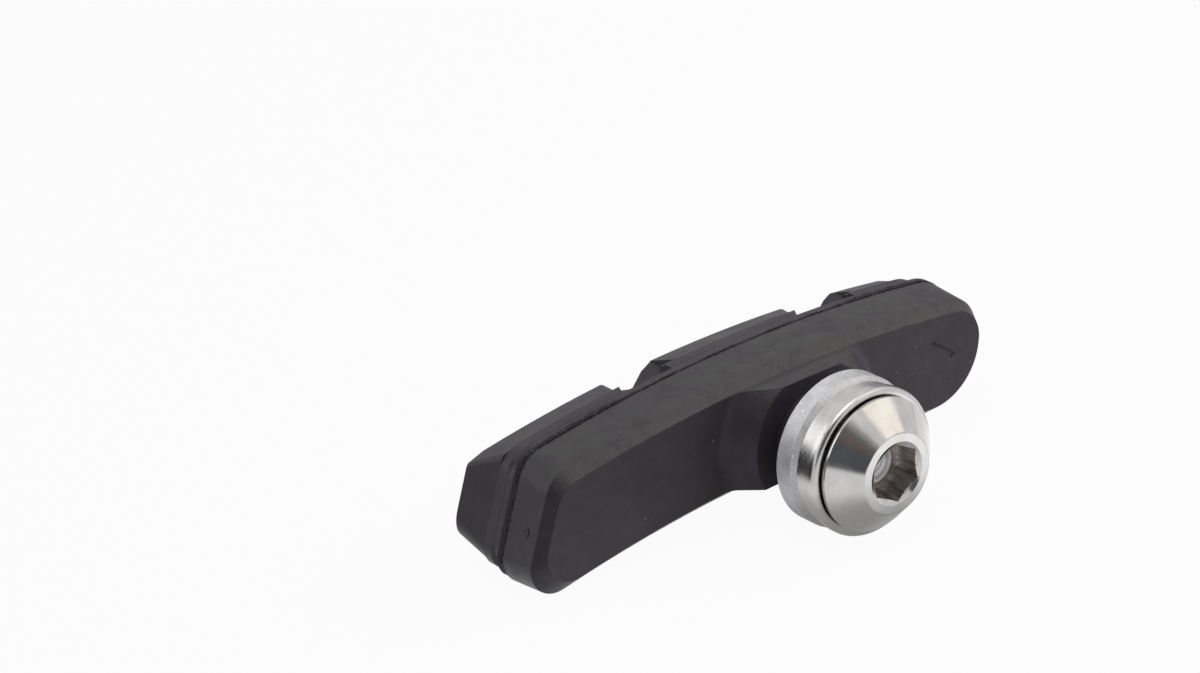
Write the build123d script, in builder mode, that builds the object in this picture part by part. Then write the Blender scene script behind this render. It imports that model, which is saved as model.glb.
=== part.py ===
from build123d import *
from math import asin, cos, radians, sin, sqrt, tan
import os

os.makedirs("parts", exist_ok=True)

# Frame: the bolt axis is the Y axis, and the brake arm lies towards -Y. The origin is the centre of the
# seat on the pad's boss. X runs along the pad from its square end to its round end, and Z is up.

# Arch of the pad: every long edge is an arc about one centre, below the middle of the pad's length
arch_middle_x = -2.8
arch_radius = 150.0

# Pad outline at the back, as heights of the long edges from the bolt axis, and where the two ends lie
back_top = 7.2
back_bottom = -4.0
square_end_x = -29.65
square_end_lean = 0.385
round_end_x = 23.05

# Depths along the bolt axis, measured from the boss seat towards the friction face
boss_height = 5.2
back_bevel = 1.0
parting_depth = 10.15
crease_slope = 0.13
ridge_width = 0.8
channel_slope = 0.3
channel_width = 0.5
bead_slope = 0.4
bead_width = 1.0
face_depth = 17.8

# Insets from the pad outline, as top edge, bottom edge, square end and round end. At the square end the
# crease opens into a gap with a sloping lip.
back_insets = (1.05, 0.85, 0.85, 0.4)
plain_insets = (0, 0, 0, 0)
parting_insets = (-0.4, -0.3, 0.05, -0.15)
crease_insets = (-0.1, 0, 1.0, 0.15)
ridge_start_insets = (-0.45, 0.15, 0.9, -0.15)
ridge_end_insets = (-0.45, 0.15, 0.3, -0.15)
channel_start_insets = (0.6, 0.65, 0.45, 0.9)
channel_end_insets = (0.6, 0.65, 0.5, 0.9)
bead_insets = (0.25, 0.3, 0.45, 0.25)
block_insets = (0.45, 0.4, 0.45, 0.45)
face_insets = (2.1, 1.15, -0.65, 0.25)

# Corner radii of the square end, as top and bottom
body_corners = (3.0, 2.9)
ridge_corners = (2.6, 2.3)
block_corners = (0.9, 2.3)
face_corners = (0.6, 3.3)

# Corner radii of the round end, as shares of the outline's height: top and bottom
body_round_shares = (0.35, 0.63)
face_round_shares = (0.25, 0.42)

# Bevel of the friction face at the square end
end_bevel_length = 1.9
end_bevel_depth = 0.7

# Boss that carries the seat
boss_base_radius = 9.0
boss_top_radius = 7.0
boss_ledge_depth = 2.8
boss_foot_radius = 12.2
boss_foot_round = 1.6
boss_edge_round = 0.3
neck_radius = 4.7

# Grooves across the friction face, with the mouth of each cut down to the channel and flared to the left
groove_width = 2.6
groove_depth = 3.7
groove_slant = 42.0
groove_middles = (-12.1, 10.8)
groove_height = 1.4
mouth_floor_height = 6.0
mouth_round = 0.6
mouth_step = 1.8
flare_widths = (2.1, 2.65)
flare_growths = (2.65, 3.7)
flare_height = 1.4

# Wear dots in a row along the square end, just proud of the friction face
dot_radius = 0.95
dot_proud = 0.1
dot_count = 3
dot_pitch = 2.7
dot_inset = 2.7
dot_middle_z = -0.4

# Moulded tick on the back, near the round end
tick_points = ((17.1, 2.3), (19.7, 0.4), (19.2, 0.15))
tick_width = 0.22
tick_proud = 0.07

# Threaded insert moulded into the pad
insert_radius = 3.6
insert_length = 9.4
anchor_length = 24.0
anchor_height = 6.0
anchor_thickness = 1.6
anchor_corner = 2.4
anchor_hole_radius = 1.3
anchor_hole_x = 8.5
pocket_length = 4.6
pocket_margin = 0.3

# Fixing bolt, an M6 with a cone head and a hexagon socket
bolt_radius = 3.0
bolt_length = 18.0
bolt_tip_chamfer = 0.6
head_radius = 6.38
head_edge_height = 0.3
head_height = 2.85
head_face_radius = 3.88
head_round = 0.2
shoulder_radius = 5.9
shoulder_height = 0.25
socket_across_flats = 5.0
socket_depth = 2.8
socket_corner_angle = 31.4
socket_mouth_radius = 3.05
socket_mouth_angle = 30.0
socket_floor_radius = 1.9
socket_floor_drop = 0.5

# Dished ring and domed washer, a pair that lets the pad swivel until the bolt is tight
dished_radius = 7.25
dished_bore_radius = 3.5
dished_height = 2.4
dished_front_chamfer = 0.45
dished_back_chamfer = 0.15
domed_inset = 0.35
domed_height = 2.65
domed_bore_radius = 3.3
rim_inset = 0.15
rim_height = 1.0
rim_round = 0.45
dome_radius = 11.0
dome_edge_radius = 5.6

# Clearances
thread_clearance = 0.04
dome_clearance = 0.02
swivel_gap = 0.1

# Values worked out from the sizes above
arch_centre_z = -arch_radius
crease_middle = parting_depth + crease_slope
ridge_start = crease_middle + crease_slope
ridge_end = ridge_start + ridge_width
channel_start = ridge_end + channel_slope
channel_end = channel_start + channel_width
bead_start = channel_end + bead_slope
bead_end = bead_start + bead_width
groove_floor = face_depth - groove_depth
face_top = back_top - face_insets[0]
domed_radius = dished_radius - domed_inset
rim_radius = dished_radius - rim_inset
washer_back = dished_height + swivel_gap
washer_front = dished_height + domed_height
head_back = washer_front + shoulder_height
head_front = head_back + head_height
bolt_tip = bolt_length - washer_front
dome_centre = -dished_height - sqrt(dome_radius**2 - dome_edge_radius**2)
dome_foot_radius = sqrt((dome_radius - dome_clearance) ** 2 - (washer_back + dome_centre) ** 2)


def cross_section(depth):
    """Plane square to the bolt axis, at a depth from the boss seat, with X to the right and Z up."""
    return Plane.XZ.offset(-depth)


def on_arc(height, x):
    """Point at x on the long edge that runs at this height."""
    radius = arch_radius + height
    return (x, arch_centre_z + sqrt(radius**2 - (x - arch_middle_x) ** 2))


def at_angle(height, angle):
    """Point on the long edge at this height, at an angle about the arch's centre."""
    radius = arch_radius + height
    return (arch_middle_x + radius * sin(angle), arch_centre_z + radius * cos(angle))


def at_square_end(height, inset):
    """Point where the leaning square end meets the long edge at this height."""
    radius = arch_radius + height
    offset = square_end_x + inset - arch_middle_x
    lean_square = 1 + square_end_lean**2
    half_middle = offset * square_end_lean - arch_centre_z
    rest = offset**2 + arch_centre_z**2 - radius**2
    z = (sqrt(half_middle**2 - lean_square * rest) - half_middle) / lean_square
    return (square_end_x + inset + square_end_lean * z, z)


def pad_section(depth, insets, square_corners, round_shares):
    """Sketch of the pad's outline at a depth: two arcs and two ends, with rounded corners."""
    top = back_top - insets[0]
    bottom = back_bottom + insets[1]
    end_angle = asin((round_end_x - insets[3] - arch_middle_x) / (arch_radius + (top + bottom) / 2))
    top_square = at_square_end(top, insets[2])
    bottom_square = at_square_end(bottom, insets[2])
    top_round = at_angle(top, end_angle)
    bottom_round = at_angle(bottom, end_angle)
    corners = (
        (top_square, square_corners[0]),
        (bottom_square, square_corners[1]),
        (top_round, round_shares[0] * (top - bottom)),
        (bottom_round, round_shares[1] * (top - bottom)),
    )
    with BuildSketch(cross_section(depth)) as section:
        with BuildLine():
            ThreePointArc(top_square, on_arc(top, arch_middle_x), top_round)
            Line(top_round, bottom_round)
            ThreePointArc(bottom_round, on_arc(bottom, arch_middle_x), bottom_square)
            Line(bottom_square, top_square)
        make_face()
        for point, radius in corners:
            fillet(section.vertices().sort_by_distance(point)[0], radius)
    return section.sketch


def dot_place(number):
    """Centre of a wear dot, counted from the lowest."""
    z = dot_middle_z + (number - (dot_count - 1) / 2) * dot_pitch
    return (square_end_x + dot_inset + square_end_lean * z, z)


def groove_wall(middle, side, z):
    """Point at height z on the left (-1) or right (1) wall of a groove."""
    middle_z = on_arc(groove_height, middle)[1]
    return (middle + (z - middle_z) * tan(radians(groove_slant)) + side * groove_width / 2, z)


def mouth_z(middle):
    """Height of the top edge of the friction face where a groove runs out of it."""
    x = middle + (face_top - groove_height) * tan(radians(groove_slant))
    return on_arc(face_top, x)[1]


def mouth_right(middle):
    """Place along X of the upright right wall of a groove's mouth, past the bevel of its corner."""
    return groove_wall(middle, 1, mouth_z(middle))[0] + mouth_round


def groove_section(middle):
    """Sketch of a groove on its floor: slanted, with the right corner of its mouth bevelled, then upright."""
    low = back_bottom - groove_depth
    high = back_top + groove_depth
    left = groove_wall(middle, -1, mouth_z(middle))
    with BuildSketch(cross_section(groove_floor)) as section:
        with BuildLine():
            Polyline(
                groove_wall(middle, -1, low),
                groove_wall(middle, 1, low),
                groove_wall(middle, 1, mouth_z(middle) - mouth_round),
                (mouth_right(middle), mouth_z(middle)),
                (mouth_right(middle), high),
                (left[0], high),
                left,
                close=True,
            )
        make_face()
    return section.sketch


def mouth_section(depth, left_x, right_x, floor_z):
    """Sketch at a depth of the room over a floor, between two upright walls."""
    high = back_top + groove_depth
    with BuildSketch(cross_section(depth)) as section:
        with BuildLine():
            Polyline((left_x, floor_z), (right_x, floor_z), (right_x, high), (left_x, high), close=True)
        make_face()
    return section.sketch


def on_dome(radius, clearance):
    """Point at this radius on the sphere that the ring and the washer share."""
    return (radius, dome_centre + sqrt((dome_radius - clearance) ** 2 - radius**2))


# Insert blank: the barrel and its anchor plate, before tapping
with BuildPart() as insert_blank:
    with BuildSketch(cross_section(0)):
        Circle(insert_radius)
    extrude(amount=-insert_length)
    with BuildSketch(cross_section(insert_length)):
        RectangleRounded(anchor_length, anchor_height, anchor_corner)
        with Locations((anchor_hole_x, 0), (-anchor_hole_x, 0)):
            Circle(anchor_hole_radius, mode=Mode.SUBTRACT)
    extrude(amount=anchor_thickness)

# Threaded insert: a tapped barrel with an anchor plate that the rubber grips
with BuildPart() as threaded_insert:
    add(insert_blank.part)
    with BuildSketch(cross_section(0)):
        Circle(bolt_radius + thread_clearance)
    extrude(amount=-insert_length, mode=Mode.SUBTRACT)
threaded_insert.part.label = "threaded_insert"

# Boss blank: a neck on a cone with a hollow round at its foot, turned about the bolt axis
with BuildPart() as boss_blank:
    with BuildSketch(Plane.XY) as boss_profile:
        with BuildLine():
            Polyline(
                (0, 0),
                (neck_radius, 0),
                (neck_radius, boss_ledge_depth),
                (boss_top_radius, boss_ledge_depth),
                (boss_base_radius, boss_height),
                (boss_foot_radius, boss_height),
                (boss_foot_radius, boss_height + back_bevel),
                (0, boss_height + back_bevel),
                close=True,
            )
        make_face()
        for point, radius in (
            ((boss_base_radius, boss_height), boss_foot_round),
            ((boss_top_radius, boss_ledge_depth), boss_edge_round),
        ):
            fillet(boss_profile.vertices().sort_by_distance(point)[0], radius)
    revolve(axis=Axis.Y)

# Boss: the whole neck down to the body, and as much of the cone as the flat of the pad's back carries
with BuildPart() as boss:
    extrude(pad_section(boss_height, back_insets, body_corners, body_round_shares), amount=boss_height)
    with BuildSketch(cross_section(0)):
        Circle(neck_radius)
    extrude(amount=-boss_height - back_bevel)
    add(boss_blank.part, mode=Mode.INTERSECT)

# Room of the grooves: a slanted slot, a mouth down to the channel, and a flare that widens on its way there
with BuildPart() as groove_room:
    for middle, flare_width, flare_growth in zip(groove_middles, flare_widths, flare_growths):
        extrude(groove_section(middle), amount=-groove_depth)
        edge_z = mouth_z(middle)
        floor_z = on_arc(mouth_floor_height, middle)[1]
        left_x = groove_wall(middle, -1, edge_z)[0]
        middle_x = groove_wall(middle, 0, edge_z)[0]
        mouth_floor = mouth_section(channel_start, left_x, mouth_right(middle) - mouth_step, floor_z)
        extrude(mouth_floor, amount=channel_start - face_depth)
        flare_foot = mouth_section(channel_start, left_x - flare_width - flare_growth, middle_x, floor_z)
        flare_face = mouth_section(face_depth, left_x - flare_width, middle_x, edge_z - flare_height)
        loft([flare_foot, flare_face], ruled=True)

# Friction block: drafted along its long sides, with the grooves cut and their mouths rounded
with BuildPart() as friction_block:
    block_foot = pad_section(bead_end, block_insets, block_corners, body_round_shares)
    block_face = pad_section(face_depth, face_insets, face_corners, face_round_shares)
    loft([block_foot, block_face], ruled=True)
    add(groove_room.part, mode=Mode.SUBTRACT)
    for middle, flare_width, flare_growth in zip(groove_middles, flare_widths, flare_growths):
        half_growth = flare_growth * (face_depth - bead_end) / (face_depth - channel_start) / 2
        x = groove_wall(middle, -1, mouth_z(middle))[0] - flare_width - half_growth
        z = on_arc((face_top + back_top - block_insets[0]) / 2, x)[1]
        left_edge = friction_block.edges().sort_by_distance((x, (bead_end + face_depth) / 2, z))[0]
        fillet(left_edge, mouth_round)

# Pad block: one rubber moulding around the insert
with BuildPart() as pad_block:
    body_sections = (
        (boss_height, back_insets, body_corners),
        (boss_height + back_bevel, plain_insets, body_corners),
        (parting_depth, parting_insets, body_corners),
        (crease_middle, crease_insets, body_corners),
        (ridge_start, ridge_start_insets, ridge_corners),
        (ridge_end, ridge_end_insets, ridge_corners),
        (channel_start, channel_start_insets, ridge_corners),
        (channel_end, channel_end_insets, ridge_corners),
        (bead_start, bead_insets, ridge_corners),
        (bead_end, bead_insets, ridge_corners),
    )
    loft([pad_section(*place, body_round_shares) for place in body_sections], ruled=True)
    add(groove_room.part, mode=Mode.SUBTRACT)
    add(friction_block.part)
    add(boss.part)

    # Bevel along the square end of the friction face
    square_end = Plane(
        origin=(square_end_x, face_depth, 0),
        x_dir=(1, 0, -square_end_lean),
        z_dir=(square_end_lean, 0, 1),
    )
    with BuildSketch(square_end):
        with BuildLine():
            Polyline(
                (end_bevel_length, 0),
                (-end_bevel_length, 0),
                (-end_bevel_length, -2 * end_bevel_depth),
                close=True,
            )
        make_face()
    extrude(amount=back_top - back_bottom, both=True, mode=Mode.SUBTRACT)

    # Wear dots
    with BuildSketch(cross_section(face_depth - end_bevel_depth)):
        with Locations(*[dot_place(number) for number in range(dot_count)]):
            Circle(dot_radius)
    extrude(amount=-end_bevel_depth - dot_proud)

    # Tick moulded on the back
    with BuildSketch(cross_section(boss_height)):
        with BuildLine() as tick_line:
            Polyline(*tick_points)
        trace(tick_line.line, tick_width)
    extrude(amount=tick_proud)

    # Room for the insert, and a pocket past it for the bolt's tip
    add(insert_blank.part, mode=Mode.SUBTRACT)
    with BuildSketch(cross_section(0)):
        Circle(bolt_radius + pocket_margin)
    extrude(amount=-insert_length - pocket_length, mode=Mode.SUBTRACT)
pad_block.part.label = "pad_block"

# Fixing bolt: cone head, shoulder and shank turned as one, with a hexagon socket
with BuildPart() as fixing_bolt:
    with BuildSketch(Plane.XY) as bolt_profile:
        with BuildLine():
            Polyline(
                (0, bolt_tip),
                (bolt_radius - bolt_tip_chamfer, bolt_tip),
                (bolt_radius, bolt_tip - bolt_tip_chamfer),
                (bolt_radius, -washer_front),
                (shoulder_radius, -washer_front),
                (shoulder_radius, -head_back),
                (head_radius, -head_back),
                (head_radius, -head_back - head_edge_height),
                (head_face_radius, -head_front),
                (0, -head_front),
                close=True,
            )
        make_face()
        fillet(bolt_profile.vertices().sort_by_distance((head_face_radius, -head_front))[0], head_round)
    revolve(axis=Axis.Y)
    with BuildSketch(cross_section(-head_front)):
        RegularPolygon(socket_across_flats / 2, 6, major_radius=False, rotation=socket_corner_angle)
    extrude(amount=-socket_depth, mode=Mode.SUBTRACT)
    with BuildSketch(Plane.XY):
        with BuildLine():
            Polyline(
                (0, -head_front),
                (socket_mouth_radius, -head_front),
                (0, socket_mouth_radius * tan(radians(socket_mouth_angle)) - head_front),
                close=True,
            )
        make_face()
        with BuildLine():
            Polyline(
                (0, socket_depth - head_front),
                (socket_floor_radius, socket_depth - head_front),
                (0, socket_depth + socket_floor_drop - head_front),
                close=True,
            )
        make_face()
    revolve(axis=Axis.Y, mode=Mode.SUBTRACT)
fixing_bolt.part.label = "fixing_bolt"

# Dished ring: seats on the boss, hollow towards the arm
with BuildPart() as dished_ring:
    with BuildSketch(Plane.XY):
        with BuildLine():
            Polyline(
                on_dome(dished_bore_radius, 0),
                (dished_bore_radius, 0),
                (dished_radius - dished_back_chamfer, 0),
                (dished_radius, -dished_back_chamfer),
                (dished_radius, dished_front_chamfer - dished_height),
                (dished_radius - dished_front_chamfer, -dished_height),
                on_dome(dome_edge_radius, 0),
            )
            ThreePointArc(
                on_dome(dome_edge_radius, 0),
                on_dome((dome_edge_radius + dished_bore_radius) / 2, 0),
                on_dome(dished_bore_radius, 0),
            )
        make_face()
    revolve(axis=Axis.Y)
dished_ring.part.label = "dished_ring"

# Domed washer: its dome turns in the hollow of the ring, and its rim takes the bolt's shoulder
with BuildPart() as domed_washer:
    with BuildSketch(Plane.XY) as washer_profile:
        with BuildLine():
            Polyline(
                on_dome(domed_bore_radius, dome_clearance),
                (domed_bore_radius, -washer_front),
                (rim_radius, -washer_front),
                (rim_radius, rim_height - washer_front),
                (domed_radius, rim_height - washer_front),
                (domed_radius, -washer_back),
                on_dome(dome_foot_radius, dome_clearance),
            )
            ThreePointArc(
                on_dome(dome_foot_radius, dome_clearance),
                on_dome((dome_foot_radius + domed_bore_radius) / 2, dome_clearance),
                on_dome(domed_bore_radius, dome_clearance),
            )
        make_face()
        fillet(washer_profile.vertices().sort_by_distance((rim_radius, -washer_front))[0], rim_round)
    revolve(axis=Axis.Y)
domed_washer.part.label = "domed_washer"

for piece in (pad_block, threaded_insert, dished_ring, domed_washer, fixing_bolt):
    export_step(piece.part, f"parts/{piece.part.label}.step")
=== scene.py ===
from math import asin, atan, cos, pi, radians, sin, tan

import bpy
from mathutils import Matrix, Vector


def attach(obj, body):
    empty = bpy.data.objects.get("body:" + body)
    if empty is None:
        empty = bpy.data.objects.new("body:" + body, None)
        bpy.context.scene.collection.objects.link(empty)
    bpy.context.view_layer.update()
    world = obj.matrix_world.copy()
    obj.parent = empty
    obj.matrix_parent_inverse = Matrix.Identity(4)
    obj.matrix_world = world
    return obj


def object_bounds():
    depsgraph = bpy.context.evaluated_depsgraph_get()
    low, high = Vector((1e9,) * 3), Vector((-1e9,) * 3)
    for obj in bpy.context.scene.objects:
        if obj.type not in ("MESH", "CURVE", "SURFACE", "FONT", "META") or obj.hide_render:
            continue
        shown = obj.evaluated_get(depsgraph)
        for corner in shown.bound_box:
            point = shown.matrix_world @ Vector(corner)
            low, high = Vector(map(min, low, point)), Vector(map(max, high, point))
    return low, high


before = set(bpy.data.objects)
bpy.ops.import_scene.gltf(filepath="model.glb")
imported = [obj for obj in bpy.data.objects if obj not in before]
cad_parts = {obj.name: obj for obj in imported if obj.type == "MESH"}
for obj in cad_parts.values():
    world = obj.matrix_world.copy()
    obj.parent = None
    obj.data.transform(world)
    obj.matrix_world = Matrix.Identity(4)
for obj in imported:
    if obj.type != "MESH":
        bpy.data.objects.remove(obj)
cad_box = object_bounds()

MM = 0.001

# Camera, as fitted to the photograph: degrees, millimetres, and a shift in the photograph's pixels
CAMERA_AZIMUTH = -36.71638
CAMERA_ELEVATION = 25.7125
CAMERA_ROLL = -4.95834
CAMERA_PLACE = (-208.43325, -245.24863, 167.67052)
CAMERA_LENS = 120
CAMERA_SENSOR = 36
CAMERA_SIGHT = (10, 10000)
PHOTO_WIDTH = 1200
SHIFT_RIGHT = 0.4
SHIFT_UP = -0.8

# Studio, in metres and degrees, and the share of plain white in the floor that the camera sees
CARD_DISTANCE = 1.2
FRONT_AZIMUTH = -38
FRONT_WIDTH = 2.2
FLOOR_SIZE = 4.0
FLOOR_GAP = 0.02 * MM
FLOOR_WHITE_SHARE = 0.95

# Rubber moulding, in millimetres: its end and arch are those of the part, and a pair of values
# is where a soft edge starts and where it ends
ARCH_MIDDLE_X = -2.8
ARCH_RADIUS = 150.0
SQUARE_END_X = -29.65
SQUARE_END_LEAN = 0.385
CREASE_Y = 10.32
CREASE_SHIFT = 0.18
CREASE_SPREAD = 0.14
CREASE_EDGE = (0.26, 0.10)
CRUMB_EDGE = (0.62, 0.25)
TORN_MIDDLE = 1.1
TORN_ENDS = 0.9
TORN_LEFT_X = (-13.0, -18.0)
TORN_RIGHT_X = (8.0, 13.0)
PAINTED_TOP_LIGHT_Y = (10.6, 9.6)
BEVEL_Y = (7.2, 6.6)
BACK_Y = (5.6, 5.4)
SCRATCH_LEAN = 0.19
SCRATCH_Z = 2.85
SCRATCH_EDGE = (0.07, 0.02)
SCRATCH_START_X = (13.3, 13.8)
SCRATCH_END_X = (16.4, 15.6)
TICK_Y = (5.18, 5.15)
TICK_X = (13.0, 13.2)

# Torn bead in the crease, in millimetres
FLASH_HEIGHT = 7.42
FLASH_Y = 10.28
FLASH_REACH = (-26.0, 20.0)
FLASH_THICKNESS = 0.1
FLASH_RAGGED = 0.2
FLASH_GRAIN = 0.35
FLASH_SIDES = 8
FLASH_STEPS = 260
FLASH_SMOOTH_ANGLE = 50

# Mould mark on the square end, in millimetres
MARK_Y = 7.7
MARK_RADIUS = 0.42
MARK_OVAL = 0.7
MARK_PROUD = 0.08
MARK_RIM = 0.13
MARK_SINK = 0.02
MARK_SIDES = 28
MARK_SMOOTH_ANGLE = 40

# Bolt, washer and insert, in millimetres from the bolt axis and along it, with soft edges as pairs
SOCKET_EDGE = (3.0, 2.92)
SOCKET_MOUTH_Y = (-8.02, -7.85)
SOCKET_FLOOR_EDGE = (2.45, 2.40)
SOCKET_FLOOR_Y = (-5.75, -5.6)
WASHER_WALL_EDGE = (6.75, 6.85)
WASHER_WALL_Y = (-4.4, -4.1)
WASHER_RIM_EDGE = (6.35, 6.60)
WASHER_RIM_Y = (-4.20, -4.50)
THREAD_PITCH = 1.0
THREAD_EDGE = 0.02
THREAD_START_Y = (-4.9, -4.7)
BOLT_THREAD_RADIUS = 3.05
INSERT_THREAD_RADIUS = 3.10

# Specks in the finishes: the solid share of one, and how softly its cell is picked
SPECK_CORE = 0.6
SPECK_FADE = 0.02

# Colours
RUBBER_DARK = (0.0318, 0.0286, 0.0360, 1)
RUBBER_PALE = (0.0456, 0.0419, 0.0503, 1)
RUBBER_PAINTED_TOP_LIGHT = (0.052, 0.051, 0.048, 1)
RUBBER_WORN = (0.058, 0.057, 0.052, 1)
RUBBER_CRUMB = (0.070, 0.068, 0.066, 1)
RUBBER_DUST = (0.26, 0.25, 0.26, 1)
RUBBER_SHEEN = (0.97, 0.93, 1.0, 1)
# Painted shade in the crease, and the dark of the tick
CREASE_SHADE_AND_TICK_BLACK = (0.010, 0.009, 0.010, 1)
SATIN_DARK = (0.39, 0.39, 0.405, 1)
SATIN_PALE = (0.71, 0.71, 0.72, 1)
SATIN_PAINTED_GLINT = (0.86, 0.86, 0.86, 1)
POLISHED_DARK = (0.47, 0.463, 0.456, 1)
POLISHED_PALE = (0.545, 0.537, 0.529, 1)
POLISHED_PIT = (0.35, 0.34, 0.33, 1)
SOCKET_WALL_DARK = (0.27, 0.24, 0.22, 1)
SOCKET_WALL_PALE = (0.64, 0.61, 0.59, 1)
SOCKET_FLOOR_DARK = (0.17, 0.165, 0.165, 1)
SOCKET_FLOOR_PALE = (0.50, 0.49, 0.49, 1)
INSERT_DARK = (0.42, 0.41, 0.38, 1)
INSERT_PALE = (0.60, 0.58, 0.54, 1)
FLOOR_GREY = (0.60, 0.60, 0.60, 1)
ROOM_GREY = (0.15, 0.15, 0.155, 1)
WHITE = (1, 1, 1, 1)


class Shade:
    """A value, vector, colour or shader of one node tree, written with ordinary arithmetic."""

    def __init__(self, tree, socket=None):
        self.tree = tree
        self.socket = socket

    def node(self, kind, settings, values, out=0):
        """Adds a node: its settings first, then a number, a colour or a link for each socket."""
        made = self.tree.nodes.new(kind)
        for name, setting in settings.items():
            setattr(made, name, setting)
        for name, value in values.items():
            self.give(made.inputs[name], value)
        return Shade(self.tree, made.outputs[out])

    def give(self, slot, value):
        """Sets a socket to a number or a colour, or links a shade to it."""
        if isinstance(value, Shade):
            self.tree.links.new(value.socket, slot)
        else:
            slot.default_value = value

    def maths(self, operation, first, second=0.0):
        return self.node("ShaderNodeMath", {"operation": operation}, {0: first, 1: second})

    def __add__(self, other):
        return self.maths("ADD", self, other)

    def __radd__(self, other):
        return self.maths("ADD", other, self)

    def __sub__(self, other):
        return self.maths("SUBTRACT", self, other)

    def __rsub__(self, other):
        return self.maths("SUBTRACT", other, self)

    def __mul__(self, other):
        return self.maths("MULTIPLY", self, other)

    def __rmul__(self, other):
        return self.maths("MULTIPLY", other, self)

    def __pow__(self, other):
        return self.maths("POWER", self, other)

    def low(self, other):
        return self.maths("MINIMUM", self, other)

    def high(self, other):
        return self.maths("MAXIMUM", self, other)

    def size(self):
        return self.maths("ABSOLUTE", self)

    def step(self, start, end, low=0.0, high=1.0):
        """A smooth step from low at start to high at end."""
        return self.node(
            "ShaderNodeMapRange", {"interpolation_type": "SMOOTHSTEP"},
            {0: self, 1: start, 2: end, 3: low, 4: high},
        )

    def mix(self, first, second):
        """Colour that goes from first to second as this value goes from 0 to 1."""
        return self.node("ShaderNodeMix", {"data_type": "RGBA"}, {0: self, 6: first, 7: second}, out=2)

    def ray(self, kind):
        """1 where a ray of this kind looks at the surface, and 0 for other rays."""
        return self.node("ShaderNodeLightPath", {}, {}, out=f"Is {kind} Ray")

    def glow(self, colour):
        return self.node("ShaderNodeEmission", {}, {"Color": colour, "Strength": 1.0})

    def show(self):
        """Makes this shader the material's surface."""
        self.give(self.tree.nodes["Material Output"].inputs["Surface"], self)


class Finish(Shade):
    """A new material: its shader, and the object's coordinates in millimetres."""

    def __init__(self, name):
        self.material = bpy.data.materials.new(name)
        self.material.use_nodes = True
        super().__init__(self.material.node_tree)
        self.shader = self.tree.nodes["Principled BSDF"]
        place = self.node("ShaderNodeTexCoord", {}, {}, out="Object")
        self.mm = self.node("ShaderNodeVectorMath", {"operation": "SCALE"}, {0: place, "Scale": 1 / MM})
        self.x, self.y, self.z = (self.along(self.mm, axis) for axis in "XYZ")
        self.radius = (self.x * self.x + self.z * self.z) ** 0.5

    def along(self, vector, axis):
        return self.node("ShaderNodeSeparateXYZ", {}, {0: vector}, out=axis)

    def stretched(self, scale):
        return self.node("ShaderNodeVectorMath", {"operation": "MULTIPLY"}, {0: self.mm, 1: scale})

    def rise(self):
        """Upward part of the true normal: 1 on a level top, 0 on a wall, -1 underneath."""
        return self.along(self.node("ShaderNodeNewGeometry", {}, {}, out="True Normal"), "Z")

    def noise(self, per_mm, detail=3.0, rough=0.55, where=None):
        return self.node(
            "ShaderNodeTexNoise", {},
            {"Vector": where or self.mm, "Scale": per_mm, "Detail": detail, "Roughness": rough},
        )

    def turning(self, place, per_mm, detail, rough=0.5):
        """Noise in one direction, as the rings that a lathe leaves."""
        return self.node(
            "ShaderNodeTexNoise", {"noise_dimensions": "1D"},
            {"W": place, "Scale": per_mm, "Detail": detail, "Roughness": rough},
        )

    def specks(self, per_mm, size, share):
        """Round specks of a size in millimetres, in a share of the cells of a grid."""
        cells = {"Vector": self.mm, "Scale": per_mm}
        gap = self.node("ShaderNodeTexVoronoi", {}, cells, out="Distance")
        draw = self.node("ShaderNodeTexVoronoi", {}, cells, out="Color")
        pick = self.node("ShaderNodeSeparateColor", {}, {0: draw}, out=0)
        reach = size * per_mm
        return gap.step(reach, reach * SPECK_CORE) * pick.step(1 - share, 1 - share + SPECK_FADE)

    def thread(self, largest):
        """Helix about the bolt axis, inside this radius and behind the head."""
        helix = self.y * (2 * pi / THREAD_PITCH) + self.maths("ARCTAN2", self.z, self.x)
        inner = self.radius.step(largest, largest - THREAD_EDGE)
        return self.maths("SINE", helix) * inner * self.y.step(*THREAD_START_Y)

    def bump(self, height, strength, distance, under=None):
        """Normal bumped by a height of so many millimetres, over the bump under it if there is one."""
        values = {"Height": height, "Strength": strength, "Distance": distance * MM}
        if under is not None:
            values["Normal"] = under
        return self.node("ShaderNodeBump", {}, values)

    def join(self, **values):
        """Sets or links the shader's own sockets, named as there with underscores for spaces."""
        for name, value in values.items():
            self.give(self.shader.inputs[name.replace("_", " ")], value)

    def shade_over(self, share, colour):
        """Covers a share of the surface with a dull colour that has no sheen."""
        own = Shade(self.tree, self.shader.outputs[0])
        dull = self.node("ShaderNodeBsdfDiffuse", {}, {"Color": colour})
        self.node("ShaderNodeMixShader", {}, {0: share, 1: own, 2: dull}).show()

    def patch(self, middle, reach, tones):
        """Value between two tones, by the distance in millimetres from a place on the floor."""
        x, y = middle
        return (((self.x - x) ** 2.0 + (self.y - y) ** 2.0) ** 0.5).step(*reach, *tones)


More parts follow.
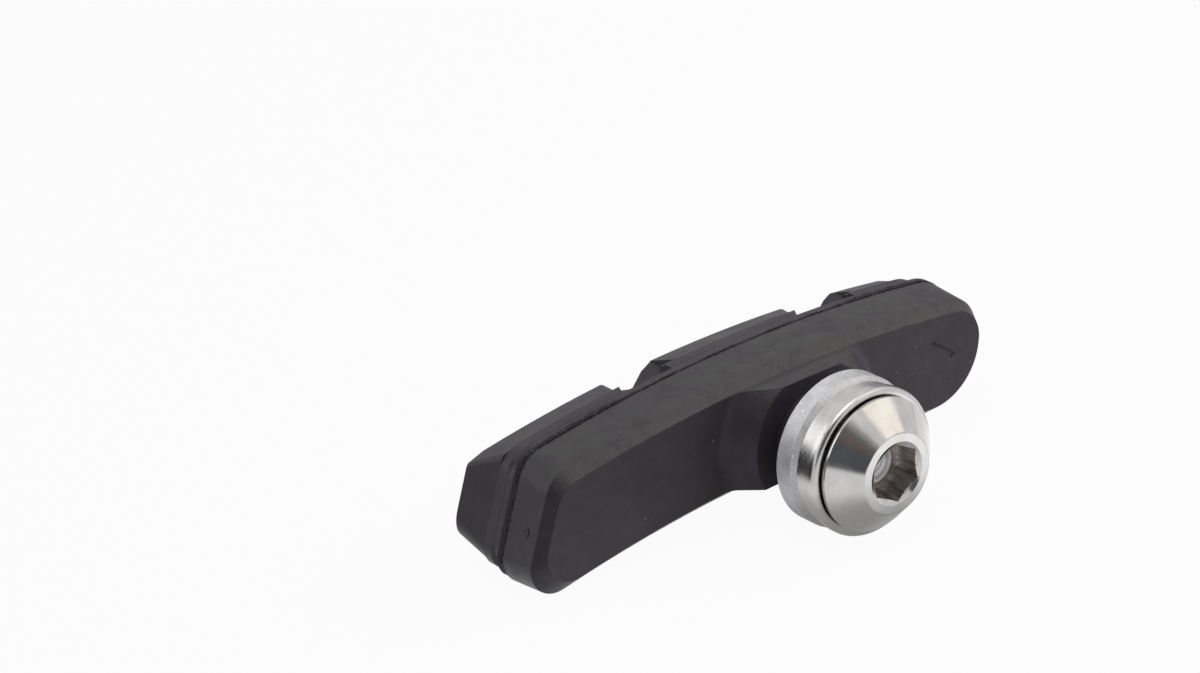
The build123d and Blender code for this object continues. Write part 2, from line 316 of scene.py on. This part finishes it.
def rubber():
    finish = Finish("moulded_rubber")
    mottle = finish.noise(0.22, detail=5.0, rough=0.6)
    cloud = finish.noise(0.9, detail=4.0, rough=0.65)
    grain = finish.noise(6.0, detail=3.0, rough=0.6)
    drag = finish.noise(1.0, detail=4.0, rough=0.6, where=finish.stretched((0.12, 0.9, 0.9)))
    dust = finish.specks(1.2, size=0.085, share=0.08).high(finish.specks(2.5, size=0.05, share=0.04) * 0.6)

    # Torn crease along the parting line, wider, shifted and more ragged towards both ends,
    # with crumbs of flash in it
    tear = finish.noise(2.4, detail=5.0, rough=0.75) - 0.5
    ends = finish.x.step(*TORN_LEFT_X).high(finish.x.step(*TORN_RIGHT_X))
    aside = (finish.y - ends * CREASE_SHIFT - CREASE_Y).size() - ends * CREASE_SPREAD
    off = aside + tear * (ends * TORN_ENDS + TORN_MIDDLE)
    depth = finish.noise(0.5, detail=3.0).step(0.42, 0.56, 0.05, 0.65).high(ends * 0.75)
    # The crease mask dents the bump, and painted shade darkens it below
    crease = off.step(*CREASE_EDGE) * depth
    crumbs = off.step(*CRUMB_EDGE) * finish.noise(3.4, detail=3.0, rough=0.6).step(0.57, 0.66)

    # Wear on the upper bevel of the back, and a scratch and a tick near the round end
    slope = finish.rise().step(0.30, 0.62) * finish.rise().step(0.97, 0.85) * finish.y.step(*BEVEL_Y)
    worn = slope * (cloud * 0.5 + grain * 0.5).step(0.35, 0.6)
    scratch = (finish.z + finish.x * SCRATCH_LEAN - SCRATCH_Z).size().step(*SCRATCH_EDGE)
    scratch = scratch * finish.x.step(*SCRATCH_START_X) * finish.x.step(*SCRATCH_END_X)
    scratch = scratch * finish.y.step(*BACK_Y)
    tick = finish.y.step(*TICK_Y) * finish.x.step(*TICK_X)

    # Colour: the rubber's own, then painted top light on what faces up, wear, crumbs and dust
    tone = (mottle * 0.4 + drag * 0.25 + cloud * 0.2 + grain * 0.15).step(0.34, 0.66)
    # Painted top light: patches of lighter, olive colour on surfaces that face up
    top = finish.rise().step(0.55, 0.95) * finish.y.step(*PAINTED_TOP_LIGHT_Y)
    painted_top_light = top * (mottle * 0.5 + cloud * 0.5).step(0.3, 0.6)
    body = tone.mix(RUBBER_DARK, RUBBER_PALE)
    body = (painted_top_light * 0.8).mix(body, RUBBER_PAINTED_TOP_LIGHT)
    body = (worn * 0.8).mix(body, RUBBER_WORN)
    body = (crumbs * 0.8).high(scratch * 0.8).mix(body, RUBBER_CRUMB)

    soft = finish.bump(mottle, strength=0.35, distance=0.12)
    fine = finish.bump(cloud - crease * 1.6 + crumbs, strength=0.45, distance=0.06, under=soft)
    finish.join(
        Base_Color=dust.mix(body, RUBBER_DUST),
        Roughness=tone.step(0.0, 1.0, 0.43, 0.35) + grain * 0.08 + crumbs * 0.2,
        Specular_IOR_Level=0.3,
        Specular_Tint=RUBBER_SHEEN,
        Normal=finish.bump(grain + dust * 0.8, strength=0.35, distance=0.02, under=fine),
    )
    # Painted shade: dull black without sheen in the crease, and a little on the tick
    finish.shade_over((crease * (1.0 - crumbs) * 0.8).high(tick * 0.3), CREASE_SHADE_AND_TICK_BLACK)
    return finish.material


def satin_steel():
    finish = Finish("blasted_steel")
    grain = finish.noise(9.0, detail=4.0, rough=0.75)
    cloud = finish.noise(0.8, detail=3.0)
    # Painted glints: brighter specks in the metal's colour
    painted_glints = finish.specks(2.2, size=0.11, share=0.10)
    colour = (grain * 0.7 + cloud * 0.3).step(0.32, 0.68).mix(SATIN_DARK, SATIN_PALE)
    finish.join(
        Base_Color=painted_glints.mix(colour, SATIN_PAINTED_GLINT),
        Metallic=1.0,
        Roughness=cloud.step(0.3, 0.7, 0.50, 0.60),
        Normal=finish.bump(grain, strength=0.8, distance=0.045),
    )
    return finish.material


def polished_steel():
    finish = Finish("polished_steel")
    turned = finish.turning(finish.radius + finish.y * 0.7, per_mm=9.0, detail=4.0, rough=0.7)
    smudge = finish.noise(0.5, detail=4.0, rough=0.6)
    ripple = finish.noise(3.0, detail=4.0, rough=0.7)
    pits = finish.specks(1.6, size=0.05, share=0.12)

    # Inside the socket: dragged marks on its walls and rings on its floor
    inside = finish.radius.step(*SOCKET_EDGE) * finish.y.step(*SOCKET_MOUTH_Y)
    bottom = finish.radius.step(*SOCKET_FLOOR_EDGE) * finish.y.step(*SOCKET_FLOOR_Y)
    streak = finish.noise(1.0, detail=4.0, rough=0.7, where=finish.stretched((2.6, 0.25, 2.6)))
    rings = finish.maths("SINE", finish.radius * 11.0 + ripple * 2.5)
    wall = streak.step(0.38, 0.62).mix(SOCKET_WALL_DARK, SOCKET_WALL_PALE)
    base = (rings * 0.3 + 0.5 + ripple * 0.25).mix(SOCKET_FLOOR_DARK, SOCKET_FLOOR_PALE)

    # The washer's wall is rippled and the front of its rim is duller
    side = finish.radius.step(*WASHER_WALL_EDGE) * finish.y.step(*WASHER_WALL_Y)
    rim = finish.radius.step(*WASHER_RIM_EDGE) * finish.y.step(*WASHER_RIM_Y)
    rough = smudge.step(0.35, 0.7, 0.10, 0.15) + turned * 0.04 + pits * 0.3
    rough = rough + side * ripple * 0.27 + rim * 0.12

    plain = smudge.step(0.3, 0.7).mix(POLISHED_DARK, POLISHED_PALE)
    plain = pits.mix(plain, POLISHED_PIT)
    cut = finish.bump(finish.thread(BOLT_THREAD_RADIUS), strength=0.9, distance=0.25)
    worked = finish.bump(ripple * (side * 3.0 + 1.0), strength=0.35, distance=0.012, under=cut)
    finish.join(
        Base_Color=bottom.mix(inside.mix(plain, wall), base),
        Metallic=1.0,
        Roughness=rough.high(inside * 0.34),
        Normal=finish.bump(turned, strength=0.12, distance=0.02, under=worked),
    )
    return finish.material


def insert_steel():
    finish = Finish("turned_steel")
    turned = finish.turning(finish.y + finish.radius * 0.5, per_mm=5.0, detail=3.0)
    cut = finish.bump(finish.thread(INSERT_THREAD_RADIUS), strength=0.9, distance=0.25)
    finish.join(
        Base_Color=finish.noise(0.6, detail=3.0).mix(INSERT_DARK, INSERT_PALE),
        Metallic=1.0,
        Roughness=turned.step(0.3, 0.7, 0.28, 0.42),
        Normal=finish.bump(turned, strength=0.3, distance=0.03, under=cut),
    )
    return finish.material


def aim(thing, azimuth, elevation, roll=0):
    """Turns a camera or lamp to look back from this azimuth and elevation, and gives its direction."""
    across, up_angle, turn = radians(azimuth), radians(elevation), radians(roll)
    back = Vector((sin(across) * cos(up_angle), -cos(across) * cos(up_angle), sin(up_angle)))
    level = Vector((cos(across), sin(across), 0))
    rise = back.cross(level)
    right = cos(turn) * level + sin(turn) * rise
    up = -sin(turn) * level + cos(turn) * rise
    thing.rotation_mode = "QUATERNION"
    thing.rotation_quaternion = Matrix((right, up, back)).transposed().to_quaternion()
    return back


def set_camera():
    data = bpy.data.cameras.new("camera")
    data.lens = CAMERA_LENS
    data.sensor_width = CAMERA_SENSOR
    data.sensor_fit = "HORIZONTAL"
    data.shift_x = SHIFT_RIGHT / PHOTO_WIDTH
    data.shift_y = SHIFT_UP / PHOTO_WIDTH
    data.clip_start, data.clip_end = (reach * MM for reach in CAMERA_SIGHT)
    camera = bpy.data.objects.new("camera", data)
    bpy.context.scene.collection.objects.link(camera)
    bpy.context.scene.camera = camera
    aim(camera, CAMERA_AZIMUTH, CAMERA_ELEVATION, CAMERA_ROLL)
    camera.location = Vector(CAMERA_PLACE) * MM


def softbox(name, azimuth, elevation, distance, size, watts, colour=(1, 1, 1)):
    data = bpy.data.lights.new(name, "AREA")
    data.shape = "RECTANGLE"
    data.size, data.size_y = size
    data.energy = watts
    data.color = colour
    lamp = bpy.data.objects.new(name, data)
    bpy.context.scene.collection.objects.link(lamp)
    lamp.location = aim(lamp, azimuth, elevation) * distance
    return lamp


def wall_card(name, azimuth, width, low, high, colour):
    """Painted reflection: a glowing card that only reflections see, upright between two elevations."""
    bottom, top = (CARD_DISTANCE * tan(radians(elevation)) for elevation in (low, high))
    across = radians(azimuth)
    bpy.ops.object.select_all(action="DESELECT")
    bpy.ops.mesh.primitive_plane_add(size=1.0)
    card = bpy.context.active_object
    card.name = name
    card.rotation_euler = (radians(90), 0, across)
    card.scale = (width, top - bottom, 1)
    card.location = (CARD_DISTANCE * sin(across), -CARD_DISTANCE * cos(across), (top + bottom) / 2)
    bpy.ops.object.transform_apply(location=True, rotation=True, scale=True)
    card.visible_camera = False
    card.visible_diffuse = False
    card.visible_shadow = False
    card.visible_transmission = False
    paint = bpy.data.materials.new(name)
    paint.use_nodes = True
    paint.node_tree.nodes.remove(paint.node_tree.nodes["Principled BSDF"])
    Shade(paint.node_tree).glow(colour).show()
    card.data.materials.append(paint)


def set_world():
    """Even grey light on the object, where the camera, metal and glass see white."""
    world = bpy.data.worlds.new("studio")
    bpy.context.scene.world = world
    world.use_nodes = True
    sky = Shade(world.node_tree)
    seen = (sky.ray("Camera") + sky.ray("Glossy") + sky.ray("Transmission")).low(1.0)
    sky.give(world.node_tree.nodes["Background"].inputs["Color"], seen.mix(ROOM_GREY, WHITE))


def lay_floor():
    """Pale floor with the object's shadow. Metal mirrors a painted glow, with painted shadow and light."""
    bpy.ops.object.select_all(action="DESELECT")
    bpy.ops.mesh.primitive_plane_add(size=FLOOR_SIZE, location=(0, 0, cad_box[0].z - FLOOR_GAP))
    floor = bpy.context.active_object
    floor.name = "floor"
    paper = Finish("pale_sweep")
    paper.tree.nodes.remove(paper.shader)
    # Painted shadow under the bolt and by the square end, painted light before the bolt face, less behind
    painted_shadow_under_bolt = paper.patch(middle=(1.0, -3.0), reach=(6.0, 19.0), tones=(0.46, 1.10))
    painted_light_by_bolt_face = paper.patch(middle=(15.0, -27.0), reach=(17.0, 7.0), tones=(0.0, 0.45))
    painted_shade_by_square_end = paper.patch(middle=(-45.0, -6.0), reach=(16.0, 5.0), tones=(1.0, 0.35))
    behind = paper.y.step(12.0, 32.0, 1.0, 0.52)
    painted_reflected_glow = (painted_shadow_under_bolt + painted_light_by_bolt_face) * painted_shade_by_square_end * behind
    # Metal mirrors this painted glow instead of the lit floor
    glossy = paper.ray("Glossy")
    glow = paper.glow(glossy * (painted_reflected_glow - 1.0) + 1.0)
    matt = paper.node("ShaderNodeBsdfDiffuse", {}, {"Color": FLOOR_GREY})
    seen = (paper.ray("Camera") * FLOOR_WHITE_SHARE + glossy + paper.ray("Transmission")).low(1.0)
    paper.node("ShaderNodeMixShader", {}, {0: seen, 1: matt, 2: glow}).show()
    floor.data.materials.append(paper.material)


def flash():
    """Thin torn bead of rubber that the mould left in the crease along the top."""
    reach = ARCH_RADIUS + FLASH_HEIGHT
    first, last = (asin((x - ARCH_MIDDLE_X) / reach) for x in FLASH_REACH)
    centre = Vector((ARCH_MIDDLE_X, FLASH_Y, -ARCH_RADIUS)) * MM
    bpy.ops.object.select_all(action="DESELECT")
    bpy.ops.mesh.primitive_circle_add(
        vertices=FLASH_SIDES, radius=FLASH_THICKNESS * MM, fill_type="NGON",
        location=centre + Vector((sin(first), 0, cos(first))) * reach * MM,
        rotation=(0, radians(90) + first, 0),
    )
    bead = bpy.context.active_object
    bead.name = "parting_flash"
    bpy.ops.object.transform_apply(location=True, rotation=True, scale=True)
    bpy.ops.object.mode_set(mode="EDIT")
    bpy.ops.mesh.select_all(action="SELECT")
    bpy.ops.mesh.spin(steps=FLASH_STEPS, angle=first - last, center=centre, axis=(0, 1, 0))
    bpy.ops.mesh.select_all(action="DESELECT")
    bpy.ops.mesh.select_non_manifold()
    bpy.ops.mesh.fill_holes(sides=0)
    bpy.ops.mesh.select_all(action="SELECT")
    bpy.ops.mesh.normals_make_consistent(inside=False)
    bpy.ops.object.mode_set(mode="OBJECT")
    tears = bpy.data.textures.new("flash_tears", "CLOUDS")
    tears.noise_scale = FLASH_GRAIN * MM
    ragged = bead.modifiers.new("ragged", "DISPLACE")
    ragged.texture = tears
    ragged.texture_coords = "LOCAL"
    ragged.strength = FLASH_RAGGED * MM
    bpy.ops.object.modifier_apply(modifier=ragged.name)
    bpy.ops.object.shade_smooth_by_angle(angle=radians(FLASH_SMOOTH_ANGLE))
    return bead


def mould_mark():
    """Low oval rim with a pressed middle, where a pin of the mould met the square end."""
    lean = atan(SQUARE_END_LEAN)
    out = Vector((-cos(lean), 0, sin(lean)))
    bpy.ops.object.select_all(action="DESELECT")
    bpy.ops.mesh.primitive_circle_add(
        vertices=MARK_SIDES, radius=MARK_RADIUS * MM, fill_type="NGON",
        location=(Vector((SQUARE_END_X, MARK_Y, 0)) - out * MARK_SINK) * MM,
        rotation=(0, lean - radians(90), 0),
    )
    mark = bpy.context.active_object
    mark.name = "mould_mark"
    mark.scale = (1.0, MARK_OVAL, 1.0)
    bpy.ops.object.transform_apply(location=True, rotation=True, scale=True)
    bpy.ops.object.mode_set(mode="EDIT")
    bpy.ops.mesh.select_all(action="SELECT")
    rise = out * (MARK_PROUD + MARK_SINK) * MM
    bpy.ops.mesh.extrude_region_move(TRANSFORM_OT_translate={"value": rise})
    bpy.ops.mesh.inset(thickness=MARK_RIM * MM)
    bpy.ops.transform.translate(value=out * -MARK_PROUD * MM)
    bpy.ops.mesh.select_all(action="SELECT")
    bpy.ops.mesh.normals_make_consistent(inside=False)
    bpy.ops.object.mode_set(mode="OBJECT")
    edge = mark.modifiers.new("edge", "BEVEL")
    edge.width = MARK_SINK * MM
    edge.segments = 2
    bpy.ops.object.modifier_apply(modifier=edge.name)
    bpy.ops.object.shade_smooth_by_angle(angle=radians(MARK_SMOOTH_ANGLE))
    return mark


# Studio
set_camera()
bpy.context.scene.view_settings.view_transform = "Standard"
key = softbox(
    "key_box", azimuth=58, elevation=42, distance=0.6, size=(0.40, 0.32), watts=2.30,
    colour=(1.0, 0.98, 0.95),
)
key.visible_glossy = False
softbox("top_box", azimuth=-30, elevation=80, distance=0.55, size=(0.4, 0.4), watts=0.8)
softbox("left_box", azimuth=-130, elevation=25, distance=0.7, size=(0.4, 0.5), watts=0.60)
# Painted reflections of a room round the object, which only reflections see
wall_card("dark_room", FRONT_AZIMUTH, FRONT_WIDTH, low=-3, high=33, colour=(0.13, 0.135, 0.15, 1))
wall_card("warm_panel", FRONT_AZIMUTH, FRONT_WIDTH, low=33, high=38, colour=(0.22, 0.155, 0.13, 1))
wall_card("upper_room", FRONT_AZIMUTH, FRONT_WIDTH, low=38, high=46, colour=(0.17, 0.17, 0.17, 1))
wall_card("ceiling_edge", FRONT_AZIMUTH, FRONT_WIDTH, low=46, high=53, colour=(0.42, 0.41, 0.40, 1))
# Painted reflection of the key lamp, which metal does not see itself
wall_card("key_lamp_reflection", azimuth=51, width=1.15, low=27, high=58, colour=(1.66, 1.59, 1.44, 1))
wall_card("far_wall", azimuth=143, width=2.4, low=-3, high=20, colour=(0.36, 0.36, 0.36, 1))
set_world()
lay_floor()

# Small rubber pieces, and the finish of each node
moulded = rubber()
polished = polished_steel()
for piece in (flash(), mould_mark()):
    piece.data.materials.append(moulded)
    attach(piece, "root")
for name, finish in (
    ("pad_block", moulded),
    ("threaded_insert", insert_steel()),
    ("dished_ring", satin_steel()),
    ("domed_washer", polished),
    ("fixing_bolt", polished),
):
    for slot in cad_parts[name].material_slots:
        slot.material = finish
